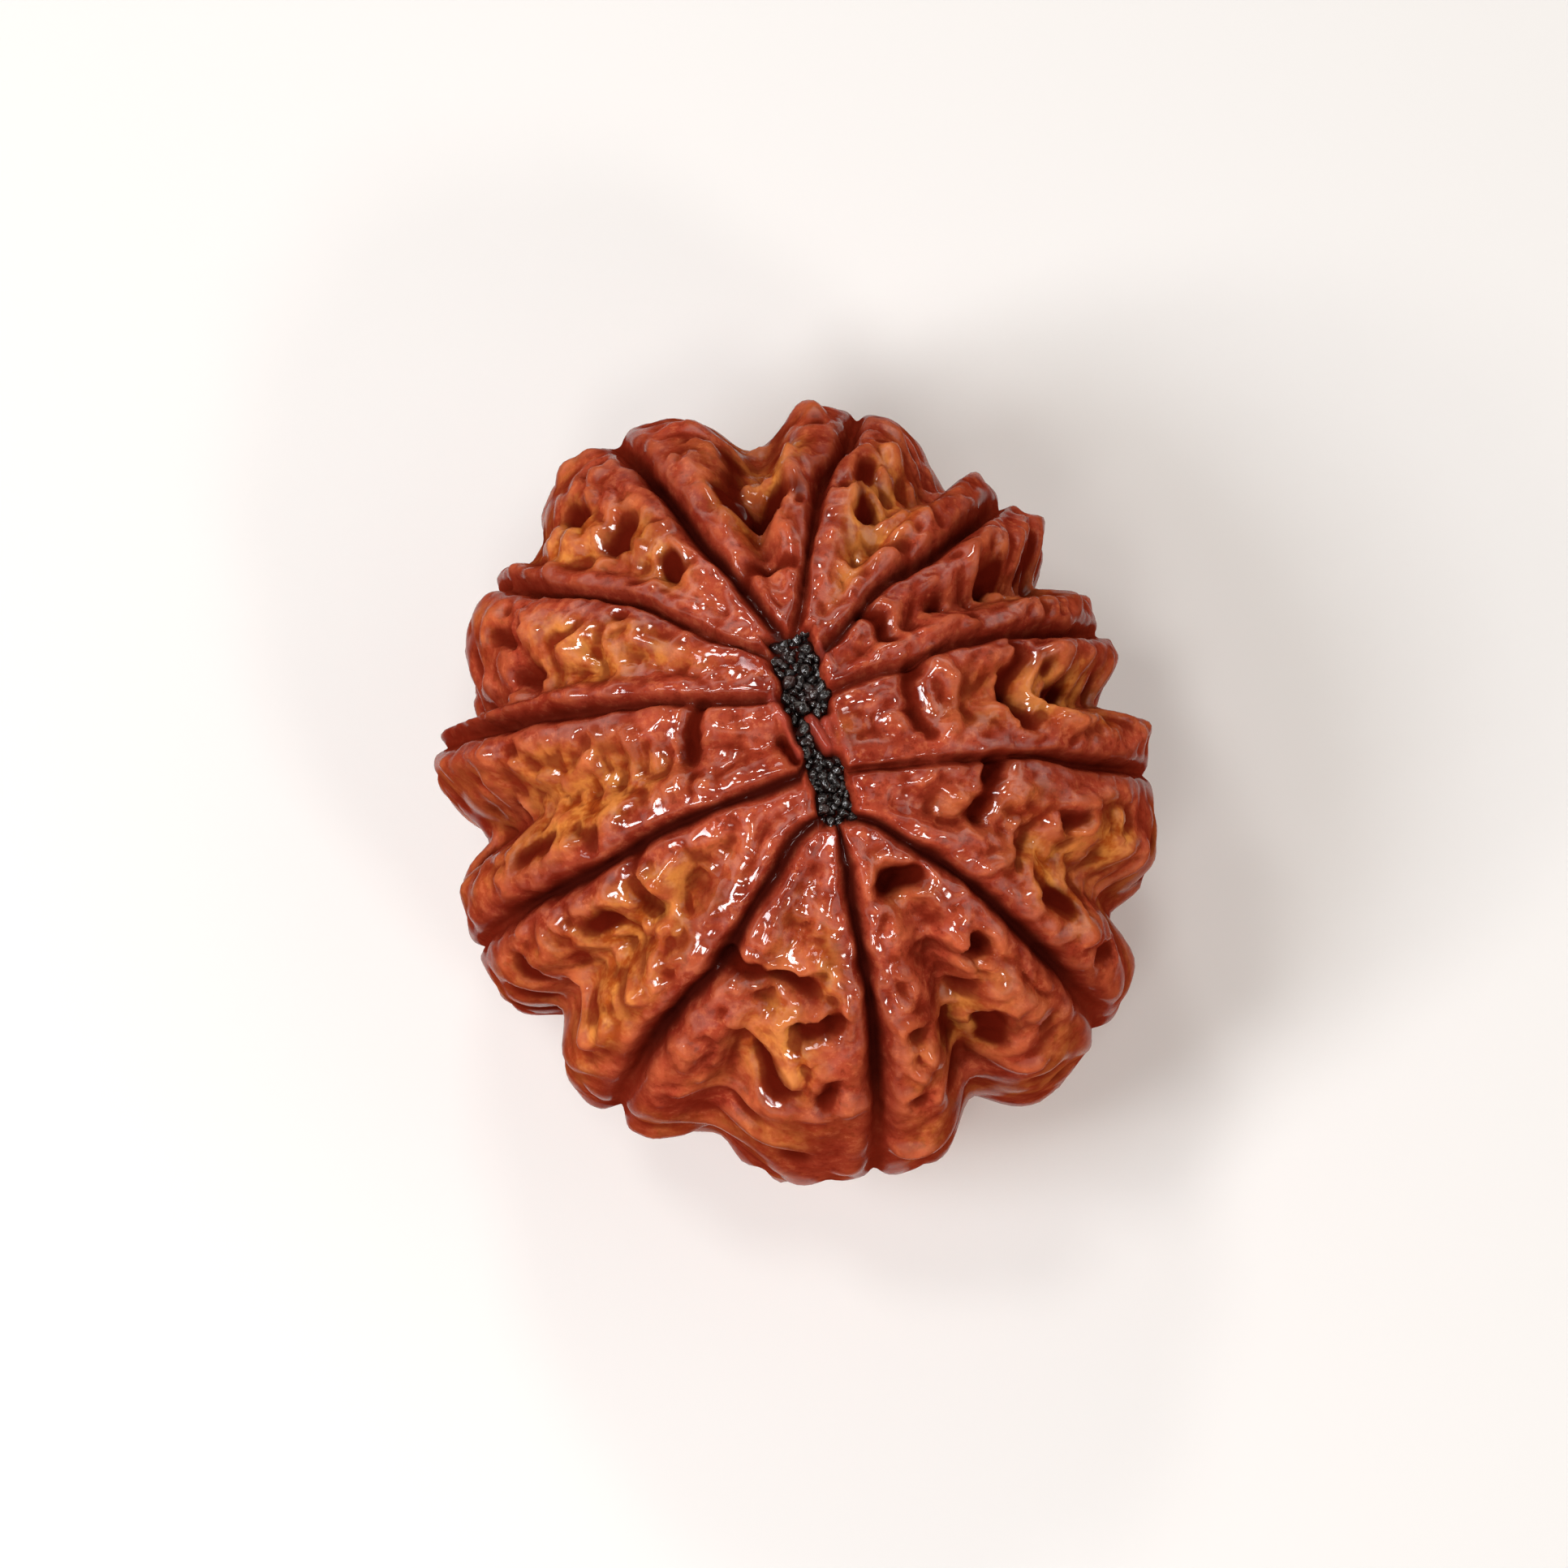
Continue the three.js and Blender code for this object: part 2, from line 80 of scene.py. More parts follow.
# Eleven seams: the ridge's radius, the groove's width, the radius of the valley that follows, where
# across the face that valley lies, how broad the face's two sides stay before they drop into it, and the
# seam's azimuth at each polar angle of SEAM_ROWS
SEAM_ROWS = [12, 20, 30, 40, 50, 60, 90]
SEAMS = [
    (10.8, 0.4, 9.3, 0.52, 3, 1, [-7.5, -5.5, -2.5, -0.5, -0.5, 0.5, 4]),
    (10.6, 0.5, 9.3, 0.47, 1.6, 3, [42, 37.5, 36, 33, 30, 28.5, 30]),
    (11.3, 0.56, 10.4, 0.36, 3, 1.8, [69.5, 68.5, 66, 60, 58, 57, 57]),
    (12.4, 0.52, 11.0, 0.45, 1.5, 3, [97, 94, 92, 90, 88.5, 84.5, 83.5]),
    (13.2, 0.64, 11.8, 0.76, 3, 1, [110, 113, 116, 118.5, 119, 119.5, 120]),
    (12.3, 0.5, 10.9, 0.8, 1.8, 1, [131, 136, 138.5, 140.5, 144.5, 147, 147]),
    (12.1, 0.52, 10.2, 0.5, 0.8, 2.2, [164, 165, 167.5, 170, 171.5, 173, 173]),
    (11.8, 0.62, 10.4, 0.5, 3, 3, [213, 210.5, 208.5, 208.5, 207.5, 206, 204.5]),
    (11.9, 0.7, 10.9, 0.37, 1.3, 4, [246, 248.5, 247, 246, 242, 240, 237.5]),
    (12.2, 0.66, 10.5, 0.45, 3, 4, [284, 283, 282.5, 282.5, 282, 281, 279]),
    (11.8, 0.66, 9.9, 0.44, 2.5, 3.5, [318, 317, 319, 319.5, 319.5, 320, 320.5]),
]
COUNT = len(SEAMS)
RIDGES, WIDTHS, VALLEYS, VALLEY_PLACES, FALLS, RISES = np.array([seam[:6] for seam in SEAMS]).T
WANDER = dict(far=2.5, full=140, rate=4, shift=97)
GROOVE = dict(depth=0.75, at_poles=0.5, narrow=0.7, at_belt=0.4, start=60, full=86, spread=0.8, uneven=0.5)
GROOVE_LUMPS = [(0.9, 9.3), (2.3, 4.1)]  # size and shift of the lumps that make a groove uneven
LIP = dict(reach=0.7, most=0.35, shape=1.2, roll=0.25, roll_reach=0.9)
VALLEY = dict(start=12, full=70, at_poles=0.25, closed=0.5, fading=2.5)

# Hollows: half width, depth, and the places [azimuth, polar angle] that the hollow runs through
HOLLOWS = [
    (0.45, 0.35, [114, 29], [105, 32.5], [96, 31]),
    (0.65, 0.85, [99, 48], [103, 44]),
    (0.6, 0.85, [107, 46], [109, 49]),
    (0.4, 0.6, [106.5, 51], [105, 63]),
    (0.62, 0.9, [128, 40]),
    (0.6, 0.55, [128, 52], [133, 52]),
    (0.45, 0.8, [133, 62], [132.5, 67]),
    (0.45, 0.45, [162, 54.5], [163, 60.5]),
    (0.4, 0.45, [157, 62], [156, 67]),
    (0.4, 0.6, [168, 20.3], [175, 20.8], [183, 21.6], [188, 22.3]),
    (0.45, 0.35, [200, 41], [203, 42.5]),
    (0.4, 0.5, [198, 50], [198.5, 57.5]),
    (0.55, 0.6, [189.5, 64]),
    (0.4, 0.4, [210, 36.5], [215, 38.3], [221, 39.5], [226, 41]),
    (0.5, 0.6, [218.7, 46.5], [218, 51]),
    (0.55, 0.35, [214, 53]),
    (0.45, 0.6, [247, 40], [255, 39.8], [262, 41], [269, 41.5]),
    (0.5, 0.65, [268, 49], [274, 46.5]),
    (0.48, 0.75, [260, 57], [262.5, 63], [265, 61]),
    (0.45, 0.7, [273, 59], [271, 63.5]),
    (0.65, 0.9, [299, 24], [307, 25.5]),
    (0.58, 0.85, [309.5, 43.5]),
    (0.45, 0.6, [290, 52.5]),
    (0.4, 0.55, [296.8, 56], [296.5, 63]),
    (0.48, 0.95, [304.5, 58], [303, 65]),
    (0.45, 0.6, [287, 65]),
    (0.4, 0.5, [312, 66]),
    (0.42, 0.6, [338, 30.5], [346, 31.5]),
    (0.5, 0.8, [351, 31], [356, 32]),
    (0.42, 0.7, [329.5, 48], [330, 55]),
    (0.5, 0.5, [346, 48], [348, 50.5]),
    (0.45, 0.6, [327, 66], [329, 70]),
    (0.45, 0.45, [351.5, 65]),
    (0.42, 0.4, [6, 19.5], [15, 18.5], [25, 17.8], [33, 19.5], [36, 22]),
    (0.45, 0.45, [8, 38.5], [15, 36.5], [21, 38], [24, 41], [29, 41.5]),
    (0.62, 0.75, [15, 48], [16.5, 55]),
    (0.4, 0.5, [66, 23], [60, 22.8], [55, 21.5], [50, 20.8]),
    (0.45, 0.65, [50, 34.8]),
    (0.48, 0.75, [47, 46.5], [46.2, 51]),
    (0.5, 0.6, [44, 61], [46, 64]),
    (0.52, 0.75, [77.5, 43.3], [78, 46]),
    (0.45, 0.75, [80.5, 51], [80, 55]),
]

# Folds: half width, height, and the places that the fold runs through
FOLDS = [
    (0.45, 0.35, [94, 46], [96, 56]),
    (0.45, 0.25, [97, 37], [104, 40], [110, 42]),
    (0.45, 0.3, [122, 45], [127, 46], [132, 46.5]),
    (0.5, 0.35, [137, 58], [137, 68]),
    (0.55, 0.3, [143, 26], [149, 28], [152, 37]),
    (0.45, 0.35, [157.5, 44], [158.5, 49]),
    (0.45, 0.3, [167, 58], [169, 64]),
    (0.45, 0.3, [178, 31], [186, 31.8]),
    (0.45, 0.35, [192, 38], [183, 40], [186, 46], [184.5, 51]),
    (0.45, 0.35, [217, 36], [224, 35.3], [229, 37.5]),
    (0.45, 0.3, [213, 42.5], [219, 42.3], [222, 41]),
    (0.45, 0.35, [226, 45], [231.5, 39.5]),
    (0.5, 0.35, [232.5, 52]),
    (0.45, 0.3, [270.5, 44.5], [265, 47], [259, 50.5]),
    (0.45, 0.35, [257.5, 51.5], [262.5, 56], [262.8, 60]),
    (0.45, 0.3, [252, 57], [251, 64]),
    (0.45, 0.35, [305, 42], [307, 40.5]),
    (0.65, 0.35, [337, 50], [339, 57]),
    (0.45, 0.3, [326, 35], [333, 39], [341, 38.5]),
    (0.45, 0.3, [352, 24], [354, 20.5], [345, 17]),
    (0.45, 0.3, [7, 23], [15, 24.8], [24, 25.8], [33, 24.5]),
    (0.48, 0.45, [8, 48], [10, 43.5], [15, 41], [21, 42.5], [24, 47], [25, 53]),
    (0.45, 0.35, [46, 44.5], [50, 44], [53, 47], [53, 54]),
    (0.45, 0.3, [40, 36], [44, 26], [48, 17]),
    (0.5, 0.35, [70, 52], [72.5, 44], [76, 40.5]),
    (0.45, 0.25, [68, 36], [73, 32], [80, 30]),
]

# What the seeded rules scatter: large hollows and folds over the flanks and the underside, and small ones
# from the outer part of the top downwards
SCATTER = dict(seed=11, start=72, stop=158, step=9.5, inset=0.22, jitter=3)
SCATTERED_HOLLOW = dict(wide=(0.42, 0.72), high=(0.4, 0.85), reach=6)
SCATTERED_FOLD = dict(wide=(0.42, 0.6), high=(0.25, 0.5), reach=9)
SMALL_SCATTER = dict(seed=23, start=38, stop=164, step=3.8, inset=0.12, jitter=2)
SMALL_HOLLOW = dict(wide=(0.22, 0.4), high=(0.2, 0.5), reach=2.5)
SMALL_FOLD = dict(wide=(0.3, 0.45), high=(0.08, 0.18), reach=3)

# Without a seed the noise vectors would differ from run to run
NOISE_SEED = 7
noise.seed_set(NOISE_SEED)

# The strokes' outlines waver this far, over lumps of this size
STROKE_BEND = 0.2
STROKE_BEND_SIZE = 1.0
STROKE_RIM = 0.12  # height of the rim round a hollow, as a share of its depth
RIM_PLACE = dict(middle=1.15, half=0.55)  # in shares of the hollow's half width
DEEPEST_HOLLOW = 0.85
CAVITY_ROUNDS = 16  # how far the skin is averaged to tell its crests from its dips

# Wrinkles: their size, height and middle level, and their shares on the lips and on the flanks
WRINKLES = [
    dict(size=1.35, shift=3.1, high=0.42, middle=0.35, on_lip=0.3, on_flank=0.45),
    dict(size=0.62, shift=8.7, high=0.2, middle=0.3, on_lip=0.5, on_flank=0.35),
]
WRINKLE_FORM = dict(softness=0.12, warp=0.5, warp_rate=0.8, gain=2)
ROUGHNESS = dict(size=0.3, shift=1.7, high=0.05)
FACE_EDGE = dict(start=0.35, fading=1.2)
FLANK = dict(start=54, full=80)  # degrees from the nearer pole
UNDERSIDE = dict(start=100, full=145, detail=0.35)
NEAR_POLE = dict(detail=0.4, spread=8, start=0.8, fading=2)  # less detail where the faces come together

# The raised net, and the share of it on the lips and on the top
NET = dict(seed=5, waves=14, length=4.1, high=0.28, deep=0.3, sharp=0.55)
TALL = 1.6  # the net and the wrinkles are this much taller than wide on the flanks
NET_ON_LIP = 0.35
NET_AT_TOP = 0.3
NET_START = 45
NET_FULL = 75

# Honey-coloured patches: azimuth, polar angle, and half sizes along each, in degrees
AMBER = [
    (75, 40, 11, 26), (99, 56, 9, 11), (108, 44, 6, 9), (137, 62, 8, 12), (128, 42, 10, 14),
    (146, 31, 10, 13), (158, 45, 10, 12), (190, 44, 15, 20), (222, 42, 15, 18), (232, 58, 14, 14),
    (276, 36, 7, 14), (262, 54, 10, 12), (334, 50, 12, 12), (347, 60, 9, 9), (16, 44, 10, 8),
    (15, 58, 10, 8), (300, 60, 8, 10),
]
AMBER_REACH = dict(full=0.3, end=1.25)  # in shares of the half sizes
AMBER_OFF_SEAM = dict(start=0.35, fading=1.1)
AMBER_PATCHES = dict(size=2.6, shift=5.5, at_top=0.3, low=0.5, start=62, full=82)

# How dark the painted shade in a groove is: faint where the seam is narrow, dark where it is broad,
# and less so on the flanks
GROOVE_MARK = dict(narrow=0.45, broad=0.62, faint=0.5, on_flank=0.35)
SEAM_BAND = dict(at_poles=0.6, low=1.2)  # how far the band of painted shade beside a seam reaches

# Seed mesh: columns to a face and rings from the slot to the scar
FACE_COLUMNS = 44
COLUMN_CROWDING = 0.45  # the columns stand this much closer at the seams
SLOT_RINGS = 22
TOP_RING_STEP = 0.76  # degrees, down to RING_CHANGE
LOW_RING_STEP = 1.2
RING_CHANGE = 78
LAST_RING = 178.4

# Grains in the slot
GRAINS = dict(seed=31, tries=4000, small=0.13, large=0.25, crowding=0.58, reach=1.2, skew=1.5)
GRAIN_PLACE = dict(inside=0.85, fold=0.3, top_radius=12.6, low=0.3, high=1.2)
GRAIN_SHAPE = dict(lump=0.5, lump_rate=1.4, shift=7.3, short=0.85, long=1.25, flat=0.85)

# Camera: the photograph's frame is this wide at the seed's middle, and its centre is off the seed's
FRAME_WIDTH = 49.95
FRAME_OFFSET = (-0.44, 0.19)  # to the right and up in the picture
CAMERA_TILT = 80
CAMERA_DISTANCE = 250

# Lamps: azimuth and elevation in degrees, then distance and size in metres, watts and colour
WINDOW = (205, 58, 0.14, 0.042, 0.076, (0.95, 0.97, 1.02))
FILL = (10, 48, 0.3, 0.22, 0.08, (1, 0.97, 0.95))
GLINT_WAYS = [(100, 48), (150, 70), (205, 42), (255, 70), (305, 48)]
GLINT = (0.25, 0.035, 0.08, (1, 0.97, 0.95))

# The room's light by height, from 0 at the horizon to 1 overhead, its tint and its strength
WORLD = [(0, 1.35), (0.3, 1.18), (0.47, 0.66), (0.6, 0.14), (0.8, 0.05), (1, 0.02)]
WORLD_TINT = (1, 0.92, 0.84, 1)
WORLD_STRENGTH = 1.1

FLOOR_HALF = 2.0  # metres

# Colours as screen values from 0 to 255
# The colour for crests is a painted highlight; those for flanks, seam edges, creases, dips, hollows and
# grooves are painted shade, the last also for the slot's dark pith. The others are the stone's own colours.
STONE = dict(
    deep=(134, 39, 24), warm=(168, 65, 42), pale=(194, 90, 62), fleck=(210, 112, 74), speck=(100, 25, 12),
    honey=(168, 78, 26), gold=(218, 138, 64), crest=(206, 108, 66), flank_shade=(106, 27, 14), beside=(104, 28, 16),
    crease_shade=(108, 26, 12), dip_shade=(106, 27, 13), hollow=(86, 19, 8), groove=(60, 14, 8), fold=(160, 62, 50),
)
GRAIN_COLOURS = dict(dark=(20, 13, 12), light=(66, 40, 37))
FLOOR_COLOUR = (244, 243, 241)


def smooth(x):
    x = np.clip(x, 0, 1)
    return x * x * (3 - 2 * x)


def mix(a, b, share):
    return a + (b - a) * share


def curve_through(xs, ys, x):
    """The value at x of a smooth curve through the points (xs, ys), level past its ends."""
    xs = np.array(xs, float)
    ys = np.array(ys, float)
    x = np.clip(x, xs[0], xs[-1])
    i = np.clip(np.searchsorted(xs, x, side="right") - 1, 0, len(xs) - 2)
    before = np.maximum(np.arange(len(xs)) - 1, 0)
    after = np.minimum(np.arange(len(xs)) + 1, len(xs) - 1)
    slope = (ys[after] - ys[before]) / (xs[after] - xs[before])
    span = xs[i + 1] - xs[i]
    u = (x - xs[i]) / span
    bend = u * (1 - u) * span
    return mix(ys[i], ys[i + 1], u * u * (3 - 2 * u)) + bend * ((1 - u) * slope[i] - u * slope[i + 1])


def seam_azimuth(i, polar):
    turn, k = divmod(i, COUNT)
    below = smooth((polar - 90) / (WANDER["full"] - 90))
    wander = WANDER["far"] * below * np.sin(np.radians(polar * WANDER["rate"] + k * WANDER["shift"]))
    return curve_through(SEAM_ROWS, SEAMS[k][6], polar) + wander + 360 * turn


def direction(azimuth, polar):
    """Direction from the stone's middle of places on it."""
    ways = []
    for pole, away, up in ((SLOT, polar, 1), (SCAR, 180 - polar, -1)):
        ring = np.maximum(away, pole["edge"])
        focus = pole["focus"] * (1 - smooth(ring / OVAL_REACH))
        shrink = away / ring
        turn = math.radians(pole["turn"])
        along = shrink * np.hypot(ring, focus) * np.cos(np.radians(azimuth) - turn)
        across = shrink * ring * np.sin(np.radians(azimuth) - turn)
        tilt = np.radians(np.hypot(along, across))
        bearing = np.arctan2(across, along) + turn
        parts = [np.sin(tilt) * np.cos(bearing), np.sin(tilt) * np.sin(bearing), up * np.cos(tilt)]
        ways.append(np.stack(parts, -1))
    return np.where((polar <= 90)[..., None], *ways)


def body_point(azimuth, polar, face, across):
    """The smooth body's surface at places, at the ridges' height."""
    belt = mix(RIDGES[face % COUNT], RIDGES[(face + 1) % COUNT], smooth(across))
    way = direction(azimuth, polar)
    level = np.hypot(way[..., 0], way[..., 1]) / belt
    upright = np.abs(way[..., 2]) / HALF_HEIGHT
    return way * ((level ** FULLNESS + upright ** FULLNESS) ** (-1 / FULLNESS))[..., None]


def body_place(azimuth, polar):
    """One place as a point on the smooth body."""
    for face in range(-1, COUNT + 1):
        start = seam_azimuth(face, polar)
        stop = seam_azimuth(face + 1, polar)
        if start <= azimuth < stop:
            across = (azimuth - start) / (stop - start)
            return body_point(np.array(azimuth), np.array(polar), np.array(face), np.array(across))
    raise ValueError(f"no face at azimuth {azimuth}")


def random_row(seed):
    """A seeded row of numbers from 0 to 1."""
    state = seed
    while True:
        state = (state * 1664525 + 1013904223) % 2**32
        yield state / 2**32


def scattered(rule, hollow, fold):
    """Hollows and folds that a seeded rule scatters over each face."""
    row = random_row(rule["seed"])
    hollows = []
    folds = []

    def within(limits):
        return mix(*limits, next(row))

    def places(polar, reach, face):
        polar_start = polar + rule["jitter"] * (2 * next(row) - 1)
        start = seam_azimuth(face, polar_start)
        stop = seam_azimuth(face + 1, polar_start)
        azimuth = float(mix(start, stop, mix(rule["inset"], 1 - rule["inset"], next(row))))
        turn = 2 * math.pi * next(row)
        end = [azimuth + reach * math.cos(turn), polar_start + reach * math.sin(turn) * 0.6]
        return [azimuth, polar_start], end

    for face in range(COUNT):
        polar = rule["start"]
        while polar < rule["stop"]:
            size = (within(hollow["wide"]), within(hollow["high"]))
            hollows.append((*size, *places(polar, hollow["reach"] * next(row), face)))
            size = (within(fold["wide"]), within(fold["high"]))
            folds.append((*size, *places(polar, fold["reach"], face)))
            polar += rule["step"]
    return hollows, folds


def distance_to(line, points):
    """Distance from each point to a line of points."""
    best = np.linalg.norm(points - line[0], axis=-1)
    for a, b in zip(line, line[1:]):
        run = b - a
        share = np.clip((points - a) @ run / (run @ run), 0, 1)
        best = np.minimum(best, np.linalg.norm(points - a - share[..., None] * run, axis=-1))
    return best


def highest_of(strokes, points, sharpness, rim=0, place=body_place):
    """The highest of the strokes at each point, and a rim round them.

    A stroke's top is flatter the greater the sharpness.
    """
    best = np.zeros(points.shape[:-1])
    edge = np.zeros(points.shape[:-1])
    for wide, high, *places in strokes:
        line = [place(*where) for where in places]
        share = distance_to(line, points) / wide
        best = np.maximum(best, high * (1 - np.minimum(share, 1) ** sharpness) ** 2)
        off_rim = np.abs(share - RIM_PLACE["middle"]) / RIM_PLACE["half"]
        edge = np.maximum(edge, rim * high * (1 - smooth(off_rim)))
    return best, edge


def net_height(points):
    """Height of the raised net: ridges along the zero lines of the waves, and dips between them."""
    row = random_row(NET["seed"])
    total = np.zeros(points.shape[:-1])
    for _ in range(NET["waves"]):
        up = 2 * next(row) - 1
        turn = 2 * math.pi * next(row)
        level = math.sqrt(1 - up * up)
        way = np.array([level * math.cos(turn), level * math.sin(turn), up / TALL])
        way = way * 2 * math.pi / NET["length"]
        total += np.sin(points @ way + 2 * math.pi * next(row))
    level = np.abs(total) / math.sqrt(NET["waves"] / 2)
    ridge = NET["high"] * (1 - smooth(level / NET["sharp"]))
    return ridge - NET["deep"] * smooth((level - NET["sharp"]) / (3 * NET["sharp"]))


def blurred(values, rounds):
    """Values on the mesh's grid, averaged with their neighbours this many times over."""
    for _ in range(rounds):
        values = (np.roll(values, 1, 1) + 2 * values + np.roll(values, -1, 1)) / 4
        padded = np.pad(values, ((1, 1), (0, 0)), mode="edge")
        values = (padded[:-2] + 2 * values + padded[2:]) / 4
    return values


def levels(points):
    """How level the surface is at each point, from 0 where it's upright to 1 where it's flat."""
    across = np.roll(points, -1, 1) - np.roll(points, 1, 1)
    down = np.gradient(points, axis=0)
    facing = np.cross(down, across)
    return blurred(np.abs(facing[..., 2]) / np.maximum(np.linalg.norm(facing, axis=-1), 1e-9), 1)


def per_point(function, points):
    """A function of one Vector, at each point."""
    values = np.array([function(Vector(p)) for p in points.reshape(-1, 3)])
    return values.reshape(points.shape[:-1] + values.shape[1:])


def wrinkles(points, size, shift):
    """Lumps with creases between them, from 0 in the creases to about 1, this many millimetres apart."""
    offset = Vector((shift, shift * 0.7, shift * 1.3))

    def lump(p):
        q = p / size + offset
        bent = q + WRINKLE_FORM["warp"] * noise.noise_vector(q * WRINKLE_FORM["warp_rate"])
        return noise.noise(bent)

    level = per_point(lump, points)
    softness = WRINKLE_FORM["softness"]
    return np.minimum(1, WRINKLE_FORM["gain"] * (np.sqrt(level ** 2 + softness ** 2) - softness))


def bumps(points, size, shift):
    """Soft noise between about -1 and 1."""
    offset = Vector((shift, shift * 1.9, shift * 0.4))
    return per_point(lambda p: noise.noise(p / size + offset), points)


def slot_frame(points):
    """Points in the slot's own frame: along it and across it."""
    turn = math.radians(SLOT["turn"])
    along = points[..., 0] * math.cos(turn) + points[..., 1] * math.sin(turn)
    across = points[..., 1] * math.cos(turn) - points[..., 0] * math.sin(turn)
    return np.stack([along, across], -1)


def on_slot(strokes, points, sharpness):
    """The highest of the strokes that are placed in the slot's own frame."""
    return highest_of(strokes, slot_frame(points), sharpness, place=lambda *where: np.array(where))[0]


def slot_place(points):
    """How far inside the slot a point is, from 0 to 1, and how far up the fold that crosses it."""
    along, across = np.moveaxis(slot_frame(points), -1, 0)
    fold = on_slot(SLOT_FOLD, points, 2.5)
    edge = SLOT_EDGE
    half = mix(SLOT_BOX["low_half"], SLOT_BOX["half"], smooth(along / edge["widening"]))
    half = half + edge["wave"] * np.sin(along * edge["rate"])
    half = half + edge["bump"] * bumps(points, edge["size"], edge["shift"])
    sides = np.abs(across - SLOT_BOX["centre"]) - half
    ends = np.maximum(along - SLOT_BOX["high"], SLOT_BOX["low"] - along)
    ends = ends + 0.5 * np.maximum(sides + edge["corner"], 0) ** 2
    return smooth(0.5 - np.maximum(sides, ends) / SLOT_BOX["soft"]), fold


def seed_grid():
    """Places of the mesh's vertices, as arrays of rings by columns."""
    slot_rings = np.linspace(0, SLOT["edge"], SLOT_RINGS + 1)[1:]
    top = np.arange(SLOT["edge"] + TOP_RING_STEP * 0.6, RING_CHANGE, TOP_RING_STEP)
    low = np.arange(RING_CHANGE, LAST_RING, LOW_RING_STEP)
    polar = np.concatenate([slot_rings, top, low])
    step = np.arange(FACE_COLUMNS) / FACE_COLUMNS
    share = step - COLUMN_CROWDING * np.sin(2 * np.pi * step) / (2 * np.pi)
    across = np.tile(share, COUNT)
    face = np.repeat(np.arange(COUNT), FACE_COLUMNS)
    starts = np.stack([seam_azimuth(i, polar) for i in range(COUNT + 1)], 1)
    azimuth = mix(starts[:, face], starts[:, face + 1], across)
    widths = []
    for i in range(COUNT):
        ends = [
            body_point(starts[:, i + k], polar, np.full(len(polar), i), np.full(len(polar), float(k)))
            for k in (0, 1)
        ]
        widths.append(np.linalg.norm(ends[1] - ends[0], axis=-1))
    near = np.minimum(across, 1 - across)
    gap = near * np.stack(widths, 1)[:, face]
    shape = azimuth.shape
    return azimuth, np.broadcast_to(polar[:, None], shape), np.broadcast_to(face, shape), \
        np.broadcast_to(across, shape), gap


